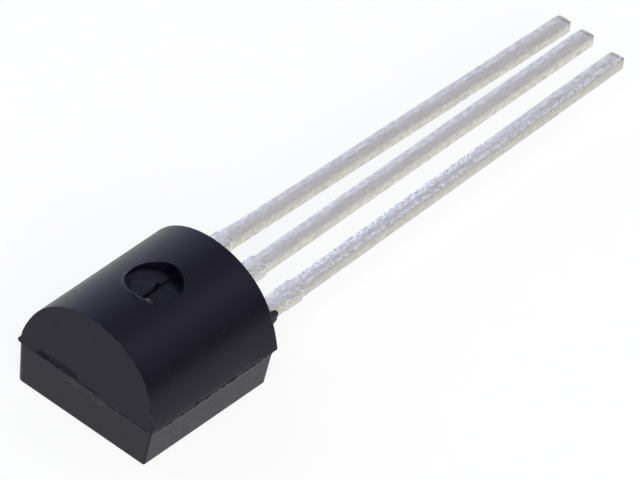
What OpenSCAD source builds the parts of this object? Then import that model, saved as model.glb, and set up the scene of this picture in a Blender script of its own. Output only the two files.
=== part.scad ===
// Three-lead transistor in a D-shaped moulded package, lying on its flat face.
// The flat face is on z = 0 with the dome above it, and the leads run along +Y.
// x = 0 is the middle of the dome, and y = 0 is the middle of the flat half.

/* [Moulded body] */
// Width of the domed half at the parting plane, twice its radius
dome_width = 4.58; // [4.4:0.02:4.8]
// Length of the domed half at the parting plane
dome_length = 4.63; // [4.4:0.01:4.8]
// How far the domed half of the mould slipped towards the leads
mould_slip_y = 0.065; // [0:0.005:0.1]
// Width of the flat half at the parting plane
base_width = 4.56; // [4.4:0.02:4.6]
// Length of the flat half at the parting plane
base_length = 4.57; // [4.4:0.01:4.8]
// How far the flat half of the mould slipped sideways
mould_slip_x = -0.045; // [-0.1:0.005:0]
// Height of the parting plane above the flat face
parting_z = 1.21; // [1.1:0.01:1.4]
// How far each long side of the flat half leans in by the flat face
side_draft = 0.14; // [0.05:0.01:0.2]
// How far each end of a half leans in at its far side
end_draft = 0.06; // [0.02:0.01:0.1]

/* [Ejector mark] */
// Radius of the ejector pin's round mark on the crown
mark_r = 0.755; // [0.6:0.005:0.9]
// Place of the mark along the body
mark_y = 0.055; // [-0.2:0.005:0.3]
// Depth of its level left half under the crown
mark_depth = 0.3; // [0.2:0.01:0.5]
// Depth of its right half, which follows the dome
mark_skin_depth = 0.2; // [0.1:0.01:0.2]

/* [Gate scar] */
// Length of the strip where the resin gate broke off the end face
gate_length = 1.46; // [1:0.02:1.8]
// Its middle, left of the body's middle
gate_x = -1; // [-1.2:0.05:-0.6]
// Height of the strip
gate_height = 0.22; // [0.1:0.01:0.3]
// Depth of the strip
gate_depth = 0.07; // [0.03:0.01:0.12]

/* [Leads] */
// Spacing of the leads where they leave the body
lead_pitch = 1.27; // [1.2:0.01:1.3]
// Width of a lead
lead_width = 0.46; // [0.4:0.01:0.5]
// Thickness of the sheet that the leads are stamped from
lead_thickness = 0.38; // [0.35:0.01:0.45]
// Flat that stands for the rounded edges of a lead
lead_edge = 0.05; // [0.02:0.01:0.08]
// Width of a lead between the body and the cut tie bar
root_width = 0.5; // [0.46:0.01:0.54]
// Width of the stubs that the cut tie bar leaves on a lead
stub_width = 0.57; // [0.54:0.01:0.62]
// Where the tie bar stubs start
stub_start_y = 3.62; // [3.4:0.01:3.7]
// Where the tie bar stubs end
stub_end_y = 4.25; // [4.1:0.01:4.4]
// How far out from the middle of the body the left lead reaches
left_reach = 17.14; // [14:0.01:18]
// How far out from the middle of the body the middle lead reaches
middle_reach = 17.17; // [14:0.01:18]
// How far out from the middle of the body the right lead reaches
right_reach = 17.07; // [14:0.01:18]
// How far the tip of the left lead is bent to the right
left_bend = 0.32; // [-0.3:0.01:0.4]
// How far the tip of the middle lead is bent to the right
middle_bend = -0.17; // [-0.3:0.01:0.3]
// How far the tip of the right lead is bent to the right
right_bend = -0.3; // [-0.4:0.01:0.3]

/* [Inside] */
// Width of the pad that carries the die
pad_width = 1.5; // [1.2:0.05:1.6]
// Length of the pad that carries the die
pad_length = 1.6; // [1.4:0.05:1.7]
// Where the pad starts, from the middle of the body
pad_y = -1.65; // [-1.7:0.05:-1.5]
// Width of the bond post at the end of a side lead
post_width = 0.95; // [0.8:0.05:1]
// Length of the bond post at the end of a side lead
post_length = 0.8; // [0.7:0.05:0.9]
// Where the bond posts start
post_y = 0.35; // [0.2:0.05:0.5]
// Side of the square die
die_side = 0.5; // [0.35:0.05:0.7]
// Thickness of the die
die_thickness = 0.2; // [0.15:0.01:0.3]
// Thickness of the layer that holds the die to its pad
attach_thickness = 0.03; // [0.02:0.01:0.05]
// Diameter of the bond wires
wire_d = 0.05; // [0.04:0.01:0.06]

/* [Hidden] */
$fn = 64;

dome_r = dome_width / 2;
crown_z = parting_z + dome_r;
dome_front_y = mould_slip_y - dome_length / 2;
frame_top_z = parting_z + lead_thickness;
// How far one solid runs into the next where the two are one piece
joint_overlap = 0.1;
// Where a lead leaves the body, and where its root starts inside it
lead_exit_y = 2.33;
lead_inner_y = 1.0;
// Distance of the bond posts from the middle of the body
post_x = 1.32;
pad_end_y = pad_y + pad_length;
die_y = pad_y + pad_length / 2;
die_bottom_z = frame_top_z + attach_thickness;
die_top_z = die_bottom_z + die_thickness;
// The layer under the die is squeezed out a little all round it
attach_margin = 0.04;
attach_side = die_side + 2 * attach_margin;
// Round foot at each end of a bond wire
bond_foot_d = 0.12;
bond_foot_h = 0.03;
// Where the feet stand, from the middle of the die and from the middle of the body
die_bond_x = 0.12;
post_bond_x = 1.2;
post_bond_y = post_y + 0.3;
// Resin flash along the lead roots, as thick as the sheet less a little
flash_width = 0.1;
flash_height = lead_thickness - 0.03;
flash_root_y = 2.1;
// How far out the flash reaches on the left and right side of each lead
flash_reach = [[2.52, 2.46], [2.5, 2.62], [2.46, 3.24]];
// Fin at the front of the left parting line: its front, length, height, and how far it stands proud
fin_front_y = -2.21;
fin_length = 0.3;
fin_height = 0.07;
fin_proud = 0.09;
fin_root = 0.05;

epoxy_black = [0.1, 0.1, 0.11];
tin_grey = [0.76, 0.77, 0.79];
silicon_grey = [0.36, 0.39, 0.44];
solder_grey = [0.62, 0.62, 0.6];
gold = [0.86, 0.68, 0.3];

// A solid whose outline is drawn across and up, swept along y from y0 to y1
module along_y(y0, y1) {
    translate([0, y1, 0])
        rotate([90, 0, 0])
            linear_extrude(height = y1 - y0)
                children();
}

// A solid whose outline is drawn along y and up, swept along x over a width centred on x = 0
module across_x(width) {
    rotate([90, 0, 90])
        translate([0, 0, -width / 2])
            linear_extrude(height = width)
                children();
}

// ---- Moulded body ----

// The half under the parting plane: a block whose four sides lean in towards the flat face
module flat_half() {
    half_w = base_width / 2;
    half_l = base_length / 2;
    translate([mould_slip_x, 0, 0])
        intersection() {
            along_y(-half_l, half_l)
                polygon([
                    [-half_w + side_draft, 0],
                    [half_w - side_draft, 0],
                    [half_w, parting_z],
                    [-half_w, parting_z]
                ]);
            across_x(base_width)
                polygon([
                    [-half_l + end_draft, 0],
                    [half_l - end_draft, 0],
                    [half_l, parting_z],
                    [-half_l, parting_z]
                ]);
        }
}

// The half over the parting plane: half of a round bar, with both ends leaning in towards the crown
module domed_half() {
    half_l = dome_length / 2;
    translate([0, mould_slip_y, 0])
        intersection() {
            translate([0, half_l, parting_z])
                rotate([90, 0, 0])
                    cylinder(r = dome_r, h = dome_length, $fn = 128);
            across_x(dome_width)
                polygon([
                    [-half_l, parting_z],
                    [half_l, parting_z],
                    [half_l - end_draft, crown_z],
                    [-half_l + end_draft, crown_z]
                ]);
        }
}

// What the ejector pin pressed into the crown: a level left half and a right half that follows the dome
module ejector_mark() {
    left_floor_z = crown_z - mark_depth;
    difference() {
        translate([0, mark_y, left_floor_z])
            cylinder(r = mark_r, h = 2 * mark_depth);
        intersection() {
            translate([0, dome_r, parting_z])
                rotate([90, 0, 0])
                    cylinder(r = dome_r - mark_skin_depth, h = dome_width, $fn = 128);
            translate([0, -dome_r, parting_z])
                cube([dome_r, dome_width, dome_r]);
        }
    }
}

// The broken strip that the resin gate left on the end face, deepest at its foot
module gate_scar() {
    foot_z = 0.02;
    shoulder_z = gate_height - gate_depth;
    translate([gate_x, dome_front_y, parting_z])
        across_x(gate_length)
            polygon([
                [-gate_depth, foot_z],
                [gate_depth, foot_z],
                [gate_depth / 2, shoulder_z],
                [-gate_depth, gate_height]
            ]);
}

// Resin that crept out between the mould and the side of a lead, on its left and right
module lead_flash(index) {
    x = lead_pitch * (index - 1);
    for (side = [0, 1]) {
        inner_x = side == 0 ? -root_width / 2 - flash_width : root_width / 2;
        translate([x + inner_x, flash_root_y, parting_z])
            cube([flash_width, flash_reach[index][side] - flash_root_y, flash_height]);
    }
}

// The thin fin at the front of the left parting line
module parting_fin() {
    translate([-dome_r - fin_proud, fin_front_y, parting_z])
        cube([fin_proud + fin_root, fin_length, fin_height]);
}

module body() {
    color(epoxy_black)
        difference() {
            union() {
                flat_half();
                domed_half();
                parting_fin();
                for (index = [0, 1, 2])
                    lead_flash(index);
            }
            ejector_mark();
            gate_scar();
            side_lead_shape(-1, left_bend, left_reach);
            side_lead_shape(1, right_bend, right_reach);
            middle_lead_shape();
            die_shape();
            die_attach_shape();
            bond_wire_shape(-1);
            bond_wire_shape(1);
        }
}

// ---- Leads, stamped from one sheet ----

// A flat stamping over the parting plane
module stamped() {
    translate([0, 0, parting_z])
        linear_extrude(height = lead_thickness)
            children();
}

// Root and tie bar stubs of a lead, from inside the body to where the tie bar was cut
module lead_root(x, inner_y) {
    stamped() {
        translate([x - root_width / 2, inner_y])
            square([root_width, stub_end_y - inner_y]);
        translate([x - stub_width / 2, stub_start_y])
            square([stub_width, stub_end_y - stub_start_y]);
    }
}

// The long free part of a lead, straight from the tie bar to its tip, which is off to one side by bend
module lead_leg(x, bend, reach) {
    length_y = reach - lead_exit_y;
    lean = atan2(bend, length_y);
    start = stub_end_y - lead_exit_y - joint_overlap;
    w = lead_width / 2;
    t = lead_thickness / 2;
    e = lead_edge;
    translate([x, lead_exit_y, parting_z + t])
        rotate([0, 0, -lean])
            along_y(start, norm([bend, length_y]))
                polygon([
                    [-w, -t + e], [-w + e, -t], [w - e, -t], [w, -t + e],
                    [w, t - e], [w - e, t], [-w + e, t], [-w, t - e]
                ]);
}

// A side lead with its bond post; side is -1 on the left and 1 on the right
module side_lead_shape(side, bend, reach) {
    x = side * lead_pitch;
    lead_root(x, lead_inner_y);
    lead_leg(x, bend, reach);
    stamped()
        translate([side * post_x - post_width / 2, post_y])
            square([post_width, post_length]);
}

// The middle lead with the pad that carries the die
module middle_lead_shape() {
    lead_root(0, pad_end_y - joint_overlap);
    lead_leg(0, middle_bend, middle_reach);
    stamped()
        translate([-pad_width / 2, pad_y])
            square([pad_width, pad_length]);
}

module lead_left() {
    color(tin_grey)
        side_lead_shape(-1, left_bend, left_reach);
}

module lead_middle() {
    color(tin_grey)
        middle_lead_shape();
}

module lead_right() {
    color(tin_grey)
        side_lead_shape(1, right_bend, right_reach);
}

// ---- Die and bond wires ----

module die_shape() {
    translate([-die_side / 2, die_y - die_side / 2, die_bottom_z])
        cube([die_side, die_side, die_thickness]);
}

module die_attach_shape() {
    translate([-attach_side / 2, die_y - attach_side / 2, frame_top_z])
        cube([attach_side, attach_side, attach_thickness]);
}

module die() {
    color(silicon_grey)
        die_shape();
}

module die_attach() {
    color(solder_grey)
        die_attach_shape();
}

// A half-round loop of wire from the die to a bond post, with a flat round foot at each end
module bond_wire_shape(side) {
    from = [side * die_bond_x, die_y, die_top_z + bond_foot_h / 2];
    to = [side * post_bond_x, post_bond_y, frame_top_z + bond_foot_h / 2];
    span = to - from;
    flat_span = norm([span.x, span.y]);
    heading = atan2(span.y, span.x);
    dip = atan2(-span.z, flat_span);
    loop_r = norm(span) / 2;
    for (foot = [from, to])
        translate([foot.x, foot.y, foot.z - bond_foot_h / 2])
            cylinder(d = bond_foot_d, h = bond_foot_h);
    translate((from + to) / 2)
        rotate([0, 0, heading])
            rotate([0, dip, 0])
                rotate([90, 0, 0])
                    rotate_extrude(angle = 180)
                        translate([loop_r, 0])
                            circle(d = wire_d, $fn = 24);
}

module bond_wire_left() {
    color(gold)
        bond_wire_shape(-1);
}

module bond_wire_right() {
    color(gold)
        bond_wire_shape(1);
}

body();
lead_left();
lead_middle();
lead_right();
die();
die_attach();
bond_wire_left();
bond_wire_right();
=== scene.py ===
"""A small transistor: a black D-shaped moulding lying on its flat face, with three tinned leads."""

from math import asin, atan2, cos, exp, pi, radians, sin, sqrt

import bmesh
import bpy
from mathutils import Matrix, Vector, noise


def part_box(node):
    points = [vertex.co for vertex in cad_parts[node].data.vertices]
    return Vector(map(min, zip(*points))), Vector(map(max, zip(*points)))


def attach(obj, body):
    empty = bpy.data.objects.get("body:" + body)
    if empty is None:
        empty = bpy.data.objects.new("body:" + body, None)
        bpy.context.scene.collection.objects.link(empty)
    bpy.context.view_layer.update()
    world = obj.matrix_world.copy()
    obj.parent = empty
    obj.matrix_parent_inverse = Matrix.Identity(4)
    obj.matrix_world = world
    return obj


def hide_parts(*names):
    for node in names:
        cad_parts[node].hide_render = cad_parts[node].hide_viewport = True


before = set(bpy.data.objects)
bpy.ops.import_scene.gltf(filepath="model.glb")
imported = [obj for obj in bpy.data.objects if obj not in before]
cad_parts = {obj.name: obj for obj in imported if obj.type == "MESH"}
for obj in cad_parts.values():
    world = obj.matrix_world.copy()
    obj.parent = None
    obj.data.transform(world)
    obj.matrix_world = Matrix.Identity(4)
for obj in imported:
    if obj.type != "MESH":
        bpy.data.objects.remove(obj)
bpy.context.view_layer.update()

# ---- Moulded body -------------------------------------------------------------------------------------
# One piece of black silica-filled epoxy, pressed round the stamped leads in a two-part steel mould whose
# halves were slightly out of line. Resin crept into the parting line, the gate broke off the front end,
# and an ejector pin left its round mark on the crown. Sizes are in millimetres.

MM = 0.001
body_low, body_high = (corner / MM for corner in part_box("body"))
parting_z = body_high.z - body_high.x
dome_radius = body_high.x - 0.015
dome_slip = -0.01
dome_fullness = 0.025
dome_front_y, dome_back_y = -2.28, 2.38
front_end_draft, back_end_draft = 0.09, 0.06
rim_radius, rim_raggedness = 0.03, 0.012
left_flare, left_flare_angle, left_flare_span = 0.035, radians(62), radians(20)
right_flare, right_flare_angle, right_flare_span = 0.05, radians(68), radians(22)
left_flare_y, back_flare_y, flare_run = -1, 1.4, 0.8
extra_back_flare = 0.7

mark_centre = Vector((-0.01, 0.06, 0))
mark_radius, mark_floor_radius = 0.757, 0.75
mark_left_z, mark_step = 3.235, 0.12
step_width = 0.1
step_fade, step_fade_y, step_fade_run = 0.35, -0.4, 1.1
floor_lean, floor_wave = 0.05, 0.008
swollen_height, swollen_radius, swollen_width = 0.045, 0.6, 0.14
swollen_bearing = -2.2
crumb_place = Vector((-0.045, 0.15, 0))
crumb_height, crumb_width, crumb_length = 0.055, 0.035, 0.075
burr_height, burr_width, burr_set_back = 0.042, 0.026, 0.022
near_burr_bearing, far_burr_bearing, fleck_bearing = radians(-112), radians(70), radians(-60)
far_burr_share, fleck_share = 0.4, 1.7
glint_width, fleck_glint, rim_glint = 0.03, 2, 1.6

same_place = 1e-5
skin_arcs = 128
mark_arcs = 38
rim_rows, front_rows, mark_rows, back_rows = 4, 22, 38, 22
skin_rows = 2 * rim_rows + front_rows + mark_rows + back_rows
mark_patch = dome_radius * sin(radians(180) * mark_arcs / skin_arcs / 2)


def blend(low, high, share):
    """The value that share of the way from low to high."""
    return low + (high - low) * share


def ease(share):
    """0 below 0 and 1 above 1, with a smooth step between."""
    share = min(max(share, 0), 1)
    return share * share * (3 - 2 * share)


def hump(distance, width):
    """A smooth bump, 1 where distance is 0."""
    return exp(-((distance / width) ** 2))


def ripple(x, y, z):
    """Smooth noise round 0 at a place, the same in each run. Another z gives another pattern."""
    return noise.noise(Vector((x, y, z)))


def swell(angle):
    """Radius of the dome at an angle from its crown: a little fuller than round at the shoulders."""
    return dome_radius + dome_fullness * sin(2 * angle) ** 2


def dome_height(x):
    """Height of the dome over the point x."""
    angle = asin((x - dome_slip) / dome_radius)
    angle = asin((x - dome_slip) / swell(angle))
    return parting_z + swell(angle) * cos(angle)


def dome_place(across, row):
    """A point of the dome's skin: across runs from -1 to 1, row counts from the front end."""
    angle = across * pi / 2
    front = dome_front_y + rim_radius + front_end_draft * cos(angle)
    back = dome_back_y - rim_radius - back_end_draft * cos(angle)
    patch_front, patch_back = mark_centre.y - mark_patch, mark_centre.y + mark_patch
    turn = max(rim_rows - row, row + rim_rows - skin_rows, 0) / rim_rows * pi / 2
    row -= rim_rows
    if row <= 0:
        y = front - rim_radius * sin(turn)
    elif row <= front_rows:
        y = blend(front, patch_front, row / front_rows)
    elif row <= front_rows + mark_rows:
        y = blend(patch_front, patch_back, (row - front_rows) / mark_rows)
    elif row <= front_rows + mark_rows + back_rows:
        y = blend(patch_back, back, (row - front_rows - mark_rows) / back_rows)
    else:
        y = back + rim_radius * sin(turn)
    radius = swell(angle) - rim_radius * (1 - cos(turn))
    flare = right_flare * (1 + extra_back_flare * ease((y - back_flare_y) / flare_run))
    radius += flare * (max(angle - right_flare_angle, 0) / right_flare_span) ** 2
    flare = left_flare * ease((left_flare_y - y) / flare_run)
    radius += flare * ease((-angle - left_flare_angle) / left_flare_span)
    if row < 0:
        radius += rim_raggedness * max(ripple(22 * angle, 0, 6), 0)
    return Vector((dome_slip + radius * sin(angle), y, parting_z + radius * cos(angle)))


def on_arc(bearing, middle, sharpness, threshold):
    """1 along an arc of the mark round a middle bearing, easing to 0 past its ends."""
    return ease(cos(bearing - middle) * sharpness - threshold)


def crumb_at(x, y):
    """Share of the height of a crumb of resin left on the mark's floor, beside the step."""
    return hump(x - crumb_place.x, crumb_width) * hump(y - crumb_place.y, crumb_length)


def mark_floor(x, y):
    """Height of the ejector mark's floor: the right half is lower, the near left edge swollen."""
    offset = Vector((x, y, 0)) - mark_centre
    level = mark_left_z - floor_lean * offset.x + floor_wave * ripple(4 * x, 4 * y, 1)
    swollen = swollen_height * ease((offset.length - swollen_radius) / swollen_width)
    level += swollen * on_arc(atan2(offset.y, offset.x), swollen_bearing, 3, 1.6)
    level += crumb_height * crumb_at(x, y)
    drop = mark_step * (1 - step_fade * ease((y - step_fade_y) / step_fade_run))
    return level - drop * ease((offset.x + 0.1 * step_width) / step_width)


def ring_after(bm, edges, place):
    """Extrudes a closed run of edges, moves each new corner by place, and returns the new run."""
    made = bmesh.ops.extrude_edge_only(bm, edges=edges)["geom"]
    corners = {item for item in made if isinstance(item, bmesh.types.BMVert)}
    for corner in corners:
        corner.co = place(corner)
    return [
        item
        for item in made
        if isinstance(item, bmesh.types.BMEdge) and all(end in corners for end in item.verts)
    ]


# The dome's skin, with a square left out round the ejector mark
body = bmesh.new()
torn_and_painted_glint = body.verts.layers.float.new("torn_and_painted_glint")
body.verts.layers.int.new("seat")
bmesh.ops.create_grid(body, x_segments=skin_arcs, y_segments=skin_rows, size=1)
front_arc, back_arc = [], []
for corner in body.verts:
    across, row = corner.co.x, round((corner.co.y + 1) / 2 * skin_rows)
    if row == 0:
        front_arc.append(corner)
    if row == skin_rows:
        back_arc.append(corner)
    corner.co = dome_place(across, row)
    # Painted highlight: the front rim's corners are marked pale in a speckled line, standing for light
    # glinting off the rim.
    if row <= rim_rows:
        rim_glint_speckle = max(ripple(8 * corner.co.x, 8 * corner.co.z, 4) + 0.2, 0)
        corner[torn_and_painted_glint] = rim_glint * rim_glint_speckle * (1 - abs(2 * row / rim_rows - 1))
patch = [
    face
    for face in body.faces
    if abs(face.calc_center_median().x) < mark_patch
    and abs(face.calc_center_median().y - mark_centre.y) < mark_patch
]
bmesh.ops.delete(body, geom=patch, context="FACES")

# Rings run in from that square, over the burr on the rim, down the wall and over the floor
ring = [
    edge
    for edge in body.edges
    if edge.is_boundary
    and all(abs(end.co.x) < 1.1 * mark_patch and end.co.z > parting_z + 1 for end in edge.verts)
    and all(abs(end.co.y - mark_centre.y) < 1.1 * mark_patch for end in edge.verts)
]


def over_rim(share, radius, depth):
    """Puts a corner share of the way in to a circle, at a share of the mark's depth, with the burr."""

    def place(corner):
        offset = (corner.co - mark_centre).to_2d()
        bearing = atan2(offset.y, offset.x)
        reach = blend(offset.length, radius, share)
        x = mark_centre.x + reach * cos(bearing)
        y = mark_centre.y + reach * sin(bearing)
        near_side = on_arc(bearing, near_burr_bearing, 5, 2.9)
        far_side = far_burr_share * on_arc(bearing, far_burr_bearing, 3, 1.9)
        fleck = hump(bearing - fleck_bearing, 0.11)
        uneven = 0.95 + 0.4 * ripple(6 * x, 6 * y, 8)
        burr = max(near_side * uneven, far_side * uneven, fleck_share * fleck)
        burr *= burr_height * hump(reach - mark_radius - burr_set_back, burr_width)
        # Painted highlight: the burr along the near rim, and most of all the fleck, are marked pale,
        # standing for the light they catch.
        glint = max(near_side, fleck_glint * fleck)
        corner[torn_and_painted_glint] = glint * hump(reach - mark_radius - 0.02, glint_width)
        return Vector((x, y, blend(dome_height(x) + burr, mark_floor(x, y), depth)))

    return place


# Each ring is (radius, share of the mark's depth): a fine apron round the rim, the wall, and the floor
apron_radius = 0.9
for share in (0.35, 0.5):
    ring = ring_after(body, ring, over_rim(share, apron_radius, 0))
rim_rings = [(apron_radius - 0.01 * step, 0) for step in range(14)]
rim_rings += [(0.762, 0.01), (0.757, 0.05), (0.755, 0.15), (0.753, 0.35), (0.751, 0.6), (0.75, 0.85)]
rim_rings += [(0.749, 1), (0.735, 1), (0.71, 1), (0.68, 1), (0.65, 1), (0.62, 1)]
rim_rings += [(0.54 - 0.06 * step, 1) for step in range(6)]
rim_rings += [(0.2 - 0.02 * step, 1) for step in range(9)]
for radius, depth in rim_rings:
    ring = ring_after(body, ring, over_rim(1, radius, depth))
bmesh.ops.edgenet_fill(body, edges=ring)

# The step across the mark's floor: it is cut along it, then both halves are set to their heights
floor_faces = [
    face
    for face in body.faces
    if all(
        (corner.co - mark_centre).to_2d().length < mark_floor_radius
        and corner.co.z < mark_left_z + 0.25
        for corner in face.verts
    )
]
for cut_share in (-0.1, 0.1, 0.3, 0.5, 0.7, 0.9):
    x = mark_centre.x + cut_share * step_width
    corners = {corner for face in floor_faces for corner in face.verts}
    edges = {edge for face in floor_faces for edge in face.edges}
    geom = [*floor_faces, *edges, *corners]
    made = bmesh.ops.bisect_plane(
        body, geom=geom, dist=same_place, plane_co=(x, 0, 0), plane_no=(1, 0, 0)
    )["geom"]
    floor_faces = [item for item in made if isinstance(item, bmesh.types.BMFace)]
for corner in {corner for face in floor_faces for corner in face.verts}:
    if (corner.co - mark_centre).to_2d().length < mark_floor_radius - 0.0005:
        corner.co.z = mark_floor(corner.co.x, corner.co.y)
        corner[torn_and_painted_glint] = 0.03 * crumb_at(corner.co.x, corner.co.y)

# Both end faces of the dome
for arc in (front_arc, back_arc):
    arc.sort(key=lambda corner: corner.co.x)
    body.faces.new(arc)

# The foot of each end face is cut fine: where the gate broke off the front one it left a torn strip
scar_low_x, scar_high_x = -1.76, -0.26
scar_height, scar_depth, tooth_height = 0.31, 0.07, 0.12
scar_wander, scar_end_run, scar_edge_run = 0.05, 0.12, 0.05
left_taper, left_taper_run = 0.06, 0.4
right_taper, right_taper_run = 0.04, 0.3
foot_torn, scar_torn = 0.35, 0.09
strip_height, strip_step = 0.455, 0.035
fit_slack, end_slack = 1e-4, 2e-3


def on_end(face, side):
    """Whether a face lies in the plane of the dome's front end (-1) or back end (1)."""
    end_y = dome_front_y if side < 0 else dome_back_y
    lean = front_end_draft / dome_radius if side < 0 else -back_end_draft / dome_radius
    return all(
        abs(corner.co.y - end_y - lean * (corner.co.z - parting_z)) < end_slack
        for corner in face.verts
    )


def cut(bm, chosen, side, point, normal):
    """Cuts the chosen faces of one end along a plane."""
    faces = [face for face in bm.faces if on_end(face, side) and chosen(face)]
    edges = {edge for face in faces for edge in face.edges}
    corners = {corner for face in faces for corner in face.verts}
    geom = [*faces, *edges, *corners]
    bmesh.ops.bisect_plane(bm, geom=geom, dist=same_place, plane_co=point, plane_no=normal)


def anywhere(face):
    """Lets every face of an end be cut."""
    return True


def in_strip(face):
    """Whether a face lies in the foot of an end face."""
    return all(corner.co.z < parting_z + strip_height + fit_slack for corner in face.verts)


for side in (-1, 1):
    cut(body, anywhere, side, (0, 0, parting_z + strip_height), (0, 0, 1))
    steps = int((dome_radius - 0.06) / strip_step)
    for step in range(-steps, steps + 1):
        cut(body, in_strip, side, (step * strip_step, 0, 0), (1, 0, 0))
    for step in range(1, round(strip_height / strip_step)):
        cut(body, in_strip, side, (0, 0, parting_z + step * strip_step), (0, 0, 1))
strip = {
    corner for face in body.faces if on_end(face, -1) and in_strip(face) for corner in face.verts
}
for corner in strip:
    x, z = corner.co.x, corner.co.z - parting_z
    wander = scar_wander * ripple(7 * x, 7 * z, 3)
    inside = ease((x + wander - scar_low_x) / scar_end_run)
    inside *= ease((scar_high_x - x + wander) / scar_end_run)
    taper = left_taper * ease((scar_low_x + left_taper_run - x) / left_taper_run)
    taper += right_taper * ease((x - scar_high_x + right_taper_run) / right_taper_run)
    inside *= ease((scar_height - taper - z + wander) / scar_edge_run)
    tooth = ((z + 0.6 * wander + 0.05 * x) / tooth_height) % 1
    rough = 0.8 + 0.45 * ripple(16 * x, 16 * z, 5)
    notch = inside * (0.6 + 0.4 * tooth * rough)
    corner.co.y += scar_depth * notch * (z > 0.01)
    corner[torn_and_painted_glint] = blend(foot_torn, scar_torn, ease(z / 0.1)) * notch

# The parting line: it climbs a little at the front end, where a fin stands at its left corner, and is
# ragged along the sides
fin_low_y, fin_high_y = -2.3, -1.9
fin_proud, fin_height, fin_thickness = 0.09, 0.05, 0.11
seam_rise, seam_rise_y, seam_rise_run = 0.055, -2, 0.2
seam_rise_reach = 0.4
seam_gap, gap_raggedness, tight_gap = 0.014, 0.018, 0.0005
edge_break, break_raggedness, tight_break = 0.034, 0.036, 0.001
groove_depth = 0.12
dome_middle = Vector((dome_slip, (dome_front_y + dome_back_y) / 2, 0))


def risen(x, y):
    """How far the parting line climbs at the front end, most of all left of its middle."""
    return seam_rise * ease((seam_rise_y - y) / seam_rise_run) * (1 - 0.75 * ease((x - 0.2) / 0.3))


for corner in body.verts:
    x, y, z = corner.co
    if x < dome_slip - dome_radius + 0.15 and z < parting_z + 0.3:
        along = ease((y - fin_low_y) / 0.05) * ease((fin_high_y - y) / 0.25)
        corner.co.x -= fin_proud * along * hump(z - parting_z - fin_height, fin_thickness)
    corner.co.z += risen(x, y) * ease(1 - (z - parting_z) / seam_rise_reach)
lower_edge = [
    edge for edge in body.edges if edge.is_boundary and edge.verts[0].co.z < parting_z + 0.1
]


def seam_at(x, y):
    """How far the dome's edge is lifted, and the flat half's is broken back, at a point of the line."""
    ragged = ripple(8 * x, 8 * y, 2) + 0.6 * ripple(25 * x, 25 * y, 4)
    off_front = ease((y + 2.1) / 0.1)
    opened = max(ease((x - 0.4) / 0.3), off_front) * (1 + 1.2 * ease((x - 2) / 0.2) * off_front)
    gap = opened * max(seam_gap + gap_raggedness * ragged, 0)
    lift = tight_gap + blend(0.1, 1, off_front) * gap
    broken = tight_break + opened * max(edge_break + break_raggedness * ragged, 0)
    return lift, broken


for corner in {end for edge in lower_edge for end in edge.verts}:
    lift, broken = seam_at(corner.co.x, corner.co.y)
    top_z = parting_z + risen(corner.co.x, corner.co.y) + lift
    corner.co = dome_middle + (corner.co - dome_middle) * (1 - 0.3 * lift / dome_radius)
    corner.co.z = top_z


def under_dome(inset, rise):
    """Puts a corner further in under the dome."""

    def place(corner):
        outward = corner.co - dome_middle
        scale = 1 - inset / dome_radius
        x, y = dome_middle.x + outward.x * scale, dome_middle.y + outward.y * scale
        return Vector((x, y, corner.co.z + rise))

    return place


ring = ring_after(body, lower_edge, under_dome(0.02, -0.003))
dome_seam = ring_after(body, ring, under_dome(groove_depth, 0.004))

# The flat half: its outline swept up from the flat face, leaning out to the parting line
flat_middle = Vector((-0.0525, 0, 0))
flat_half_width, flat_half_length = 2.3225, -body_low.y
left_draft, right_draft, front_draft = 0.05, 0.17, 0.015
left_upright_radius, right_upright_radius = 0.2, 0.05
foot_radius = 0.02
wall_rows = 16
wall_top_z, edge_z = parting_z - 0.16, parting_z - 0.004
bead_middle_x, bead_half, bead_proud = 0.08, 0.3, 0.02


def rounded_loop(long_steps, short_steps, corner_steps):
    """A rounded rectangle's outline as (share of the half width, share of the half length, facing)."""
    loop = []
    sides = [
        (1, -1, 0, 1, short_steps),
        (1, 1, -1, 0, long_steps),
        (-1, 1, 0, -1, short_steps),
        (-1, -1, 1, 0, long_steps),
    ]
    for index, (start_u, start_v, step_u, step_v, steps) in enumerate(sides):
        facing = index * pi / 2
        for step in range(corner_steps):
            loop.append((start_u, start_v, facing - pi / 2 * (1 - step / corner_steps)))
        for step in range(steps):
            share = 2 * step / steps
            loop.append((start_u + step_u * share, start_v + step_v * share, facing))
    return loop


def sweep(bm, loop, stations, place, closed=True):
    """Runs an outline through stations: place gives the point for a part of it at a station."""
    start = bmesh.ops.create_circle(bm, cap_ends=False, radius=1, segments=len(loop))["verts"]
    start.sort(key=lambda corner: atan2(corner.co.y, corner.co.x) % (2 * pi))
    numbers = bm.verts.layers.int["seat"]
    for number, corner in enumerate(start):
        corner[numbers] = number
        corner.co = place(loop[number], stations[0])
    edges = list({edge for corner in start for edge in corner.link_edges})
    bm.faces.new(start)
    for station in stations[1:]:
        edges = ring_after(bm, edges, lambda corner: place(loop[corner[numbers]], station))
    if closed:
        end_corners = {end for edge in edges for end in edge.verts}
        bm.faces.new(sorted(end_corners, key=lambda corner: corner[numbers]))
    return edges


def bead_at(x, y):
    """Share of the bead of resin that stands on the line at the front end."""
    return hump(x - bead_middle_x, bead_half) * (y < -2)


def flat_place(part, station):
    """A point of the flat half's skin: (height, inset, share of the broken edge in, down and out)."""
    u, v, facing = part
    z, inset, share_in, share_down, share_out = station
    lean = 1 - z / parting_z
    side_draft, radius = left_draft, left_upright_radius
    if u > 0:
        side_draft, radius = right_draft, right_upright_radius
    x = flat_middle.x + u * (flat_half_width - side_draft * lean - radius) + radius * cos(facing)
    y = v * (flat_half_length - front_draft * lean - radius) + radius * sin(facing)
    broken = seam_at(x, y)[1]
    inset += share_in * broken - share_out * bead_proud * bead_at(x, y)
    z += risen(x, y) * ease((z - wall_top_z) / (edge_z - wall_top_z))
    return Vector((x - inset * cos(facing), y - inset * sin(facing), z - share_down * broken))


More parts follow.
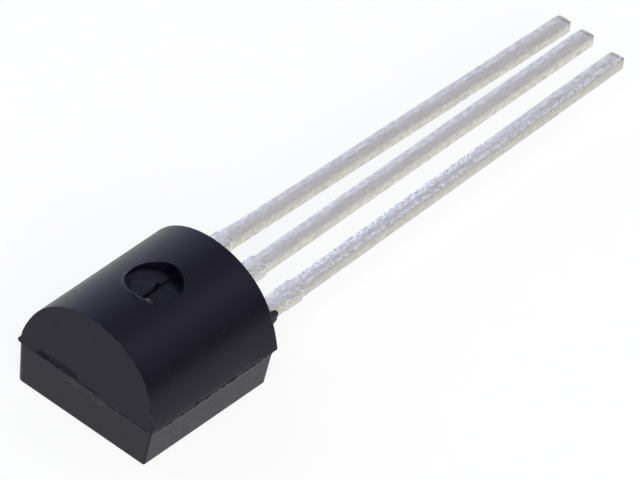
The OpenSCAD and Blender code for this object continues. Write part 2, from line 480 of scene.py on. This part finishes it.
flat_stations = [
    (foot_radius * (1 - cos(radians(turn))), foot_radius * (1 - sin(radians(turn))), 0, 0, 0)
    for turn in (0, 30, 60, 90)
]
for row in range(1, wall_rows + 1):
    flat_stations.append((blend(foot_radius, wall_top_z, row / wall_rows), 0, 0, 0, 0))
flat_stations += [
    (edge_z - 0.012, 0, 0, 1, 0.5),
    (edge_z, 0, 0, 1, 0.5),
    (edge_z, 0, 0.3, 0.5, 1),
    (edge_z, 0, 1.1, 0, 1),
    (edge_z, groove_depth, 0, 0, 0),
]
flat_first = len(body.verts)
flat_seam = sweep(body, rounded_loop(110, 110, 6), flat_stations, flat_place, closed=False)
body.verts.ensure_lookup_table()
for corner in body.verts[flat_first:]:
    x, y, z = corner.co
    # Painted highlight: the bead on the front line is marked pale, standing for the light its ledge
    # catches; crumbs of resin on the right side are marked pale too.
    if z > wall_top_z + fit_slack:
        crumbs = ease(3 * ripple(9 * x, 9 * y, 7) - 0.4) * (x > 2.1)
        corner[torn_and_painted_glint] = max(bead_at(x, y), 0.45 * crumbs)
bmesh.ops.bridge_loops(body, edges=dome_seam + flat_seam)

# Resin that crept out along the sides of the leads, thin and torn, farthest beside the right lead. Each
# piece is (lead, side of the lead, end y, stoutness)
flash_width, flash_overlap = 0.1, 0.02
flash_low_z, flash_high_z = parting_z + 0.01, parting_z + 0.36
flash_root_y = 2.2
flash_torn = 0.6
lead_pitch = 1.27
root_half_width = 0.25
flash_ends = [
    (-1, -1, 2.52, 1),
    (-1, 1, 2.46, 1),
    (0, -1, 2.5, 1),
    (0, 1, 2.62, 1),
    (1, -1, 2.46, 1),
    (1, 1, 3.21, 1.5),
]
for index, side, end_y, stout in flash_ends:
    inner_x = index * lead_pitch + side * (root_half_width - flash_overlap)
    seed = index * 3 + side

    def flash_place(part, station):
        """A point of the flash, thinning out to its end."""
        u, v, facing = part
        y, share = station
        torn_edge = ripple(12 * y, v, seed)
        thinned = sqrt(1 - 0.9 * share ** 4)
        radius = 0.02 * stout ** 2
        width = (stout * flash_width + flash_overlap) * thinned * (1 + 0.4 / stout ** 2 * torn_edge)
        half = (flash_high_z - flash_low_z) / 2 * thinned * (1 + 0.2 / stout ** 2 * torn_edge)
        x = inner_x + side * width * (0.5 + 0.5 * side * u)
        z = blend(flash_low_z, flash_high_z, 0.5) + 0.12 * (stout - 1) + v * max(half - radius, 0.02)
        radius = (radius + 0.012 * ripple(12 * x, 12 * y, 12 * z)) * thinned
        return Vector((x + radius * cos(facing), y, z + radius * sin(facing)))

    pieces = 14
    shares = [step / pieces for step in range(pieces + 1)]
    stations = [(blend(flash_root_y, end_y, share), share) for share in shares]
    first = len(body.verts)
    sweep(body, rounded_loop(3, 8, 2), stations, flash_place)
    body.verts.ensure_lookup_table()
    for corner in body.verts[first:]:
        corner[torn_and_painted_glint] = flash_torn

bmesh.ops.remove_doubles(body, verts=body.verts[:], dist=same_place)
bmesh.ops.recalc_face_normals(body, faces=body.faces[:])


def shown(bm, name, material, node):
    """Turns a millimetre mesh into a smooth-shaded object that stands for a CAD node."""
    bmesh.ops.scale(bm, vec=(MM, MM, MM), verts=bm.verts[:])
    mesh = bpy.data.meshes.new(name)
    bm.to_mesh(mesh)
    bm.free()
    mesh.shade_smooth()
    mesh.set_sharp_from_angle(angle=radians(35))
    mesh.materials.append(material)
    piece = bpy.data.objects.new(name, mesh)
    bpy.context.scene.collection.objects.link(piece)
    normals = piece.modifiers.new("face_weighted_normals", "WEIGHTED_NORMAL")
    normals.keep_sharp = True
    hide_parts(node)
    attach(piece, "root")
    return piece


def new_material(name):
    """An empty node material with its output node. Returns the material, its nodes and its links."""
    material = bpy.data.materials.new(name)
    material.use_nodes = True
    nodes, links = material.node_tree.nodes, material.node_tree.links
    nodes.clear()
    return material, nodes, links


def surface_grain():
    """A node group: noise over the surface in object space, at a coarse and a fine scale."""
    group = bpy.data.node_groups.new("surface_grain", "ShaderNodeTree")
    sockets = group.interface
    sockets.new_socket(name="Stretch", in_out="INPUT", socket_type="NodeSocketVector")
    sockets.new_socket(name="Coarse Scale", in_out="INPUT", socket_type="NodeSocketFloat")
    sockets.new_socket(name="Fine Scale", in_out="INPUT", socket_type="NodeSocketFloat")
    sockets.new_socket(name="Coarse", in_out="OUTPUT", socket_type="NodeSocketFloat")
    sockets.new_socket(name="Fine", in_out="OUTPUT", socket_type="NodeSocketFloat")
    nodes, links = group.nodes, group.links
    inputs, outputs = nodes.new("NodeGroupInput"), nodes.new("NodeGroupOutput")
    place = nodes.new("ShaderNodeTexCoord")
    mapping = nodes.new("ShaderNodeMapping")
    links.new(place.outputs["Object"], mapping.inputs["Vector"])
    links.new(inputs.outputs["Stretch"], mapping.inputs["Scale"])
    for name in ("Coarse", "Fine"):
        grain = nodes.new("ShaderNodeTexNoise")
        grain.inputs["Detail"].default_value = 3
        links.new(mapping.outputs["Vector"], grain.inputs["Vector"])
        links.new(inputs.outputs[name + " Scale"], grain.inputs["Scale"])
        links.new(grain.outputs["Fac"], outputs.inputs[name])
    return group


grain_group = surface_grain()


def add_grain(nodes, stretch, coarse_scale, fine_scale):
    """Puts the surface grain into a material."""
    grain = nodes.new("ShaderNodeGroup")
    grain.node_tree = grain_group
    grain.inputs["Stretch"].default_value = stretch
    grain.inputs["Coarse Scale"].default_value = coarse_scale
    grain.inputs["Fine Scale"].default_value = fine_scale
    return grain


def add_range(nodes, links, source, low, high, from_low=0.35, from_high=0.65):
    """Maps a 0 to 1 mask on to a range of values."""
    spread = nodes.new("ShaderNodeMapRange")
    spread.inputs["From Min"].default_value = from_low
    spread.inputs["From Max"].default_value = from_high
    spread.inputs["To Min"].default_value = low
    spread.inputs["To Max"].default_value = high
    links.new(source, spread.inputs["Value"])
    return spread.outputs["Result"]


def add_mix(nodes, links, share, low, high):
    """Mixes two colours by a mask."""
    mix = nodes.new("ShaderNodeMix")
    mix.data_type = "RGBA"
    links.new(share, mix.inputs["Factor"])
    for socket, value in (("A", low), ("B", high)):
        target = [item for item in mix.inputs if item.name == socket and item.type == "RGBA"][0]
        if isinstance(value, tuple):
            target.default_value = (*value, 1)
        else:
            links.new(value, target)
    return [item for item in mix.outputs if item.type == "RGBA"][0]


def add_bump(nodes, links, height, distance, under=None):
    """A bump of a real height in metres, over another one if given."""
    bump = nodes.new("ShaderNodeBump")
    bump.inputs["Distance"].default_value = distance
    links.new(height, bump.inputs["Height"])
    if under:
        links.new(under, bump.inputs["Normal"])
    return bump.outputs["Normal"]


def epoxy():
    """Black moulding epoxy: matt, faintly mottled and specked, rough and dull where it broke, with
    painted highlights in pale grey.
    """
    dark, less_dark = (0.0005, 0.0004, 0.0031), (0.0009, 0.0007, 0.0039)
    flat_half_black = (0.0055, 0.0055, 0.0085)
    broken_grey, painted_glint_grey = (0.02, 0.02, 0.022), (0.09, 0.09, 0.085)
    material, nodes, links = new_material("black_epoxy")
    shader = nodes.new("ShaderNodeBsdfPrincipled")
    output = nodes.new("ShaderNodeOutputMaterial")
    links.new(shader.outputs["BSDF"], output.inputs["Surface"])
    grain = add_grain(nodes, (1, 1, 1), 5000, 40000)
    # This mark holds both broken resin and painted highlight.
    broken = nodes.new("ShaderNodeAttribute")
    broken.attribute_name = "torn_and_painted_glint"
    patch = add_range(nodes, links, grain.outputs["Coarse"], 0, 1)
    colour = add_mix(nodes, links, patch, dark, less_dark)

    # The flat half, below the parting line, is coloured a shade greyer than the dome.
    height = nodes.new("ShaderNodeSeparateXYZ")
    place = nodes.new("ShaderNodeTexCoord")
    links.new(place.outputs["Object"], height.inputs["Vector"])
    lower = nodes.new("ShaderNodeMapRange")
    lower.inputs["From Min"].default_value = (parting_z + seam_rise + 0.005) * MM
    lower.inputs["From Max"].default_value = (parting_z + seam_rise - 0.005) * MM
    links.new(height.outputs["Z"], lower.inputs["Value"])
    colour = add_mix(nodes, links, lower.outputs["Result"], colour, flat_half_black)

    # Broken resin and specks of filler are grey. The same marks carry painted highlight: pale on the
    # burr and the front bead, paler still on the fleck and the front rim.
    colour = add_mix(nodes, links, broken.outputs["Fac"], colour, broken_grey)
    specks = add_grain(nodes, (1, 1, 1), 9000, 40000)
    speck = add_range(nodes, links, specks.outputs["Coarse"], 0, 0.4, 0.68, 0.74)
    colour = add_mix(nodes, links, speck, colour, broken_grey)
    painted_glint = add_range(nodes, links, broken.outputs["Fac"], 0, 1, 1, 2)
    colour = add_mix(nodes, links, painted_glint, colour, painted_glint_grey)
    links.new(colour, shader.inputs["Base Color"])

    # The mould's own finish is an even satin, and where resin broke it is rough and rubbly
    mould_finish = add_range(nodes, links, grain.outputs["Coarse"], 0.34, 0.39)
    rough = nodes.new("ShaderNodeMath")
    rough.operation = "MULTIPLY_ADD"
    links.new(broken.outputs["Fac"], rough.inputs[0])
    rough.inputs[1].default_value = 0.25
    links.new(mould_finish, rough.inputs[2])
    links.new(rough.outputs["Value"], shader.inputs["Roughness"])
    shader.inputs["Specular IOR Level"].default_value = 0.25
    shader.inputs["Specular Tint"].default_value = (0.81, 0.78, 1, 1)
    rubble = nodes.new("ShaderNodeMath")
    rubble.operation = "MULTIPLY"
    links.new(add_range(nodes, links, broken.outputs["Fac"], 0, 1, 0, 0.07), rubble.inputs[0])
    links.new(specks.outputs["Coarse"], rubble.inputs[1])
    bump = add_bump(nodes, links, grain.outputs["Coarse"], 3e-6)
    bump = add_bump(nodes, links, rubble.outputs["Value"], 8e-5, under=bump)
    bump = add_bump(nodes, links, grain.outputs["Fine"], 1.2e-6, under=bump)
    links.new(bump, shader.inputs["Normal"])
    return material


shown(body, "moulded_body", epoxy(), "body")

# ---- Leads --------------------------------------------------------------------------------------------
# Three legs punched from one sheet of copper alloy and tinned. The tie bar that held them together was
# cut away and left a stub on each side. The left and right leads end inside the body in a bond post,
# the middle one in the pad that carries the die.

stub_low_y, stub_high_y = 3.63, 4.24
stub_half_width, leg_half_width = 0.285, 0.227
shoulder_run, neck_run = 0.04, 0.024
exit_y = 2.33
left_edge_radius, right_edge_radius = 0.06, 0.02
lead_shift = 0.015
waviness, edge_waviness = 0.008, 0.004
crown, crown_softness, crown_level, crown_waviness = 0.0275, 0.02, 0.14, 0.006
lump_height = 0.02
tip_corner, tip_extra = 0.1, 0.07
tip_roll, tip_drop = 0.04, 0.06
dent_length, dent_depth, dent_run = 0.19, 0.025, 0.07


def spaced(start, stop, size):
    """Places from start up to but not at stop, about size apart."""
    count = max(round((stop - start) / size), 1)
    return [blend(start, stop, step / count) for step in range(count)]


def lead(name, node, root_x, inner, bend, tip_skew, lumpy, streaky, painted_shade_side, stub_swell, seed):
    """One lead: inner is its post or pad as (left x, right x, end y), bend is how far its tip leans."""
    low, high = (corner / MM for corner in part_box(node))
    inner_left, inner_right, inner_end_y = inner
    tip_y = high.y + tip_extra
    half_height = (high.z - low.z) / 2
    middle_z = (high.z + low.z) / 2

    # Stations along the lead, close together at the stub's shoulders and at the tip
    rows = [low.y, low.y + 0.02, inner_end_y - 0.02, inner_end_y]
    rows += spaced(inner_end_y + 0.02, stub_low_y - 0.06, 0.07)
    rows += spaced(stub_low_y - 0.06, stub_low_y + 0.06, 0.015)
    rows += spaced(stub_low_y + 0.06, stub_high_y - 0.04, 0.04)
    rows += spaced(stub_high_y - 0.04, stub_high_y + 0.06, 0.012)
    rows += spaced(stub_high_y + 0.06, tip_y - 0.24, 0.05)
    rows += spaced(tip_y - 0.24, tip_y - 0.001, 0.012) + [tip_y - 0.001]

    def sides(y):
        """Left and right edge at a place along the lead."""
        if y < inner_end_y + 0.01:
            return inner_left, inner_right
        half = root_half_width
        half = blend(half, stub_half_width, ease((y - stub_low_y + 0.5 * shoulder_run) / shoulder_run))
        half = blend(half, leg_half_width, ease((y - stub_high_y + 0.5 * neck_run) / neck_run))
        along = max(y - exit_y, 0) / (tip_y - exit_y)
        centre = root_x - lead_shift + bend * along + waviness * ripple(0.7 * y, seed, 0)
        half += edge_waviness * ripple(2.2 * y, seed, 3)
        past = min(max(y - tip_y + tip_corner, 0), tip_corner)
        half -= tip_corner - sqrt(tip_corner ** 2 - past ** 2)
        swell = stub_swell * ease((y - exit_y) / 0.3) * ease((stub_high_y + 0.9 - y) / 0.8)
        return centre - half - swell, centre + half

    def dent_at(across, y):
        """Share of the depth of the dent that the shear pressed into the tip."""
        return ease((y - tip_y + dent_length - 0.05 * across ** 2) / dent_run)

    def lumpy_at(across, y):
        """Share of the tin that ran into lumps, whose colour is painted bright as glints: on the stub,
        along a lumpy lead's edges, and as a painted glint at the stub's shoulder.
        """
        past_stub = ease((y - stub_high_y) / 0.4)
        on_stub = ease((y - 2.6) / 0.6) * ease((stub_high_y + 0.3 - y) / 0.4)
        left_edge = lumpy * hump(across + 0.75, 0.6) * past_stub * ease((14 - y) / 4)
        right_edge = lumpy * hump(across - 0.65, 0.28) * past_stub
        shoulder = hump(y - stub_high_y + 0.03, 0.04) * hump(across - 0.9, 0.2)
        return max(0.4 * on_stub, 1.5 * left_edge, 0.9 * right_edge, 1.8 * shoulder)

    def place(part, y):
        """A point of the lead's skin: its upper side dips to the middle and rolls over at the tip."""
        u, v, facing = part
        left, right = sides(y)
        middle, half = (left + right) / 2, (right - left) / 2
        radius = min(right_edge_radius if u > 0 else left_edge_radius, 0.9 * half)
        x = middle + u * (half - radius) + radius * cos(facing)
        z = middle_z + v * (half_height - radius) + radius * sin(facing)
        across = (x - middle) / half
        if y > flash_root_y:
            bow = crown * (sqrt(across ** 2 + crown_softness) - crown_level)
            bow += crown_waviness * ripple(9 * x, 2.5 * y, seed + 0.5)
            grit = ripple(14 * x, 9 * y, seed) * lumpy_at(across, y)
            z -= (bow - lump_height * grit) * ease(v)
        fall = max(y - tip_y + tip_roll, 0) / tip_roll
        z -= (tip_drop * fall ** 1.4 + dent_depth * dent_at(across, y)) * ease((v + 1) / 2)
        skew = tip_skew * (x - middle) / half * ease((y - tip_y + 0.5) / 0.5)
        return Vector((x, y + skew, z))

    bm = bmesh.new()
    bm.verts.layers.int.new("seat")
    painted_shade_layer = bm.verts.layers.float.new("dull")
    lumps_layer = bm.verts.layers.float.new("lumps")
    streak_layer = bm.verts.layers.float.new("streak")
    sweep(bm, rounded_loop(12, 6, 4), rows, place)
    for corner in bm.verts:
        x, y, z = corner.co
        left, right = sides(y)
        across = (2 * x - left - right) / (right - left)
        up = (z - middle_z) / half_height
        corner[lumps_layer] = lumpy_at(across, y)
        streak = streaky * hump(across - 0.5 + 0.2 * ripple(0.5 * y, seed, 9), 0.5) * (up > 0.5)
        corner[streak_layer] = streak * (1 + 0.5 * ripple(3 * y, seed, 1))
        # Painted shade, laid on in the duller grey: down the right side face of each lead, darker
        # towards its top and most on the right lead, along the edge of the dent at the tip, in a line
        # just past the stub's shoulder, and over the tip's end.
        shaded_right_side = (painted_shade_side + 0.4 * ease(0.35 + 0.9 * up)) * (across > 0.93)
        dent = dent_at(across, y)
        dent_edge_shade = 4.8 * dent * (1 - dent) * (up > 0)
        shoulder = 0.8 * hump(y - stub_high_y - 0.035, 0.03) * ease((across - 0.3) / 0.3)
        tip_face = ease((y - tip_y + 0.04) / 0.03)
        corner[painted_shade_layer] = max(shaded_right_side, dent_edge_shade, shoulder, tip_face)
    bmesh.ops.remove_doubles(bm, verts=bm.verts[:], dist=same_place)
    bmesh.ops.recalc_face_normals(bm, faces=bm.faces[:])
    return shown(bm, name, tin, node)


def tin_plate():
    """Tin over copper alloy: pale, softly shining, with a warm streak, small lumps painted bright as
    glints, and painted shade in a duller grey.
    """
    tin_grey, pale_tin = (0.57, 0.556, 0.515), (0.75, 0.735, 0.68)
    warm_tin, painted_shade_tin, painted_glint_tin = (0.67, 0.65, 0.57), (0.42, 0.405, 0.37), (0.95, 0.95, 0.95)
    material, nodes, links = new_material("tin_plate")
    shader = nodes.new("ShaderNodeBsdfPrincipled")
    output = nodes.new("ShaderNodeOutputMaterial")
    links.new(shader.outputs["BSDF"], output.inputs["Surface"])
    shader.inputs["Metallic"].default_value = 1
    peel = add_grain(nodes, (1, 0.6, 1), 9000, 20000)
    drawn = add_grain(nodes, (1, 0.03, 1), 14000, 60000)
    patch = add_range(nodes, links, peel.outputs["Coarse"], 0, 1)
    colour = add_mix(nodes, links, patch, tin_grey, pale_tin)
    streak = nodes.new("ShaderNodeAttribute")
    streak.attribute_name = "streak"
    colour = add_mix(nodes, links, streak.outputs["Fac"], colour, warm_tin)
    # Painted shade: the duller grey goes where the dull mark stands.
    dull = nodes.new("ShaderNodeAttribute")
    dull.attribute_name = "dull"
    colour = add_mix(nodes, links, dull.outputs["Fac"], colour, painted_shade_tin)
    # Painted highlight: the lumps mark, times a fine grain, lays near-white glints on the lumps, the
    # stub and the stub's shoulder.
    lumps = nodes.new("ShaderNodeAttribute")
    lumps.attribute_name = "lumps"
    painted_glints = nodes.new("ShaderNodeMath")
    painted_glints.operation = "MULTIPLY"
    links.new(lumps.outputs["Fac"], painted_glints.inputs[0])
    links.new(add_range(nodes, links, peel.outputs["Fine"], 0, 1, 0.42, 0.6), painted_glints.inputs[1])
    colour = add_mix(nodes, links, painted_glints.outputs["Value"], colour, painted_glint_tin)
    links.new(colour, shader.inputs["Base Color"])
    links.new(add_range(nodes, links, peel.outputs["Fine"], 0.33, 0.46), shader.inputs["Roughness"])
    bump = add_bump(nodes, links, peel.outputs["Coarse"], 7e-6)
    bump = add_bump(nodes, links, drawn.outputs["Coarse"], 1.5e-6, under=bump)
    bump = add_bump(nodes, links, painted_glints.outputs["Value"], 6e-6, under=bump)
    links.new(bump, shader.inputs["Normal"])
    return material


tin = tin_plate()
post_half_width, post_centre, post_end_y = 0.475, 1.32, 1.15
left_post = (-post_centre - post_half_width, -post_centre + post_half_width, post_end_y)
right_post = (post_centre - post_half_width, post_centre + post_half_width, post_end_y)
pad = (-0.75, 0.75, -0.05)
lead(
    "tinned_lead_left", "lead_left", -lead_pitch, left_post, bend=0.32, tip_skew=0.01,
    lumpy=0, streaky=0.9, painted_shade_side=0, stub_swell=0.045, seed=1,
)
lead(
    "tinned_lead_middle", "lead_middle", 0, pad, bend=-0.17, tip_skew=0.02,
    lumpy=0.15, streaky=0.9, painted_shade_side=0, stub_swell=0, seed=2,
)
lead(
    "tinned_lead_right", "lead_right", lead_pitch, right_post, bend=-0.3, tip_skew=0.02,
    lumpy=1, streaky=0.3, painted_shade_side=0.4, stub_swell=0, seed=3,
)

# ---- Die, die attach and bond wires -------------------------------------------------------------------
# Inside the moulding: a silicon die soldered to the middle lead's pad, and two gold wires from it to the
# posts of the side leads. Nothing of them shows.


def plain(name, low, high, roughness, metallic):
    """A finely mottled material for a hidden piece."""
    material, nodes, links = new_material(name)
    shader = nodes.new("ShaderNodeBsdfPrincipled")
    output = nodes.new("ShaderNodeOutputMaterial")
    links.new(shader.outputs["BSDF"], output.inputs["Surface"])
    grain = add_grain(nodes, (1, 1, 1), 12000, 50000)
    patch = add_range(nodes, links, grain.outputs["Coarse"], 0, 1)
    links.new(add_mix(nodes, links, patch, low, high), shader.inputs["Base Color"])
    links.new(
        add_range(nodes, links, grain.outputs["Fine"], roughness - 0.05, roughness + 0.05),
        shader.inputs["Roughness"],
    )
    shader.inputs["Metallic"].default_value = metallic
    return material


hidden = {
    "die": plain("silicon", (0.09, 0.1, 0.12), (0.13, 0.14, 0.17), 0.2, 0),
    "die_attach": plain("solder", (0.5, 0.5, 0.49), (0.6, 0.6, 0.58), 0.45, 1),
    "bond_wire_left": plain("gold_wire", (0.8, 0.55, 0.2), (0.88, 0.62, 0.26), 0.25, 1),
}
hidden["bond_wire_right"] = hidden["bond_wire_left"]
for node, material in hidden.items():
    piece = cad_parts[node]
    piece.data.materials.clear()
    piece.data.materials.append(material)

# ---- Floor, light and camera --------------------------------------------------------------------------
# A white table, lifted towards plain white where it is seen or mirrored, soft light from all round the
# room, and one large soft lamp high in front on the right.

floor_size = 3.0
floor_gap = 0.00001
white_share = 0.8
floor_mesh = bpy.data.meshes.new("floor")
sheet = bmesh.new()
bmesh.ops.create_grid(sheet, x_segments=1, y_segments=1, size=floor_size)
bmesh.ops.translate(sheet, vec=(0, 0, -floor_gap), verts=sheet.verts[:])
sheet.to_mesh(floor_mesh)
sheet.free()
floor_material, nodes, links = new_material("white_table")
shader = nodes.new("ShaderNodeBsdfPrincipled")
output = nodes.new("ShaderNodeOutputMaterial")
white = nodes.new("ShaderNodeEmission")
lifted = nodes.new("ShaderNodeMixShader")
ray = nodes.new("ShaderNodeLightPath")
seen = None
for kind in ("Is Camera Ray", "Is Glossy Ray", "Is Transmission Ray"):
    either = nodes.new("ShaderNodeMath")
    either.operation = "MULTIPLY_ADD"
    links.new(ray.outputs[kind], either.inputs[0])
    either.inputs[1].default_value = white_share
    if seen:
        links.new(seen, either.inputs[2])
    else:
        either.inputs[2].default_value = 0
    seen = either.outputs["Value"]
links.new(seen, lifted.inputs["Fac"])
links.new(shader.outputs["BSDF"], lifted.inputs[1])
links.new(white.outputs["Emission"], lifted.inputs[2])
links.new(lifted.outputs["Shader"], output.inputs["Surface"])
grain = add_grain(nodes, (1, 1, 1), 300, 4000)
patch = add_range(nodes, links, grain.outputs["Coarse"], 0, 1)
table_white = add_mix(nodes, links, patch, (0.88, 0.88, 0.88), (0.9, 0.9, 0.9))
links.new(table_white, shader.inputs["Base Color"])
shader.inputs["Roughness"].default_value = 0.9
shader.inputs["Specular IOR Level"].default_value = 0.1
floor_mesh.materials.append(floor_material)
floor = bpy.data.objects.new("floor", floor_mesh)
bpy.context.scene.collection.objects.link(floor)

world = bpy.data.worlds.new("studio")
bpy.context.scene.world = world
world.use_nodes = True
nodes, links = world.node_tree.nodes, world.node_tree.links
nodes.clear()
# Each patch of light is (compass direction, elevation, tightness, colour)
room_light = [
    (180, 8, 6, (2.8, 3.2, 3.85)),
    (130, 40, 16, (0.78, 0.75, 0.95)),
    (65, 50, 16, (1.2, 1.2, 1.33)),
    (45, 34, 16, (0.78, 0.8, 0.88)),
    (320, 8, 6, (6.4, 6.3, 6.1)),
]
facing = nodes.new("ShaderNodeTexCoord")
background = nodes.new("ShaderNodeBackground")
output = nodes.new("ShaderNodeOutputWorld")
links.new(background.outputs["Background"], output.inputs["Surface"])


def glow(azimuth, elevation, tightness, colour):
    """A soft patch of light in the room, centred on a compass direction and an elevation."""
    turn, rise = radians(azimuth), radians(elevation)
    dot = nodes.new("ShaderNodeVectorMath")
    dot.operation = "DOT_PRODUCT"
    dot.inputs[1].default_value = (cos(turn) * cos(rise), sin(turn) * cos(rise), sin(rise))
    links.new(facing.outputs["Generated"], dot.inputs[0])
    fall = nodes.new("ShaderNodeMath")
    fall.operation = "MULTIPLY_ADD"
    fall.inputs[1].default_value = tightness
    fall.inputs[2].default_value = -tightness
    links.new(dot.outputs["Value"], fall.inputs[0])
    level = nodes.new("ShaderNodeMath")
    level.operation = "EXPONENT"
    links.new(fall.outputs["Value"], level.inputs[0])
    tinted = nodes.new("ShaderNodeVectorMath")
    tinted.operation = "SCALE"
    tinted.inputs[0].default_value = colour
    links.new(level.outputs["Value"], tinted.inputs["Scale"])
    return tinted.outputs["Vector"]


room = None
for patch in room_light:
    light = glow(*patch)
    if room:
        total = nodes.new("ShaderNodeVectorMath")
        links.new(room, total.inputs[0])
        links.new(light, total.inputs[1])
        light = total.outputs["Vector"]
    room = light
links.new(room, background.inputs["Color"])
background.inputs["Strength"].default_value = 1

lamp = bpy.data.lights.new("soft_lamp", "SUN")
lamp.energy = 0.9
lamp.angle = radians(40)
lamp_object = bpy.data.objects.new("soft_lamp", lamp)
towards_lamp = Vector((0.3, -0.5, 0.8))
lamp_object.rotation_euler = towards_lamp.to_track_quat("Z", "Y").to_euler()
bpy.context.scene.collection.objects.link(lamp_object)

azimuth, elevation, roll = radians(38.12), radians(41.87), radians(6.15)
aim = Vector((1.53, 4.65, 3.05))
distance = 300
level_right = Vector((cos(azimuth), sin(azimuth), 0))
back = Vector((sin(azimuth) * cos(elevation), -cos(azimuth) * cos(elevation), sin(elevation)))
level_up = back.cross(level_right)
right = cos(roll) * level_right + sin(roll) * level_up
up = cos(roll) * level_up - sin(roll) * level_right
camera_data = bpy.data.cameras.new("camera")
camera_data.sensor_width = 36
camera_data.lens = 662.7
camera_data.clip_start = 0.01
camera_data.clip_end = 10
camera = bpy.data.objects.new("camera", camera_data)
camera.matrix_world = Matrix.Translation((aim + distance * back) * MM) @ Matrix(
    (right, up, back)
).transposed().to_4x4()
bpy.context.scene.collection.objects.link(camera)
bpy.context.scene.camera = camera
bpy.context.scene.view_settings.view_transform = "Standard"
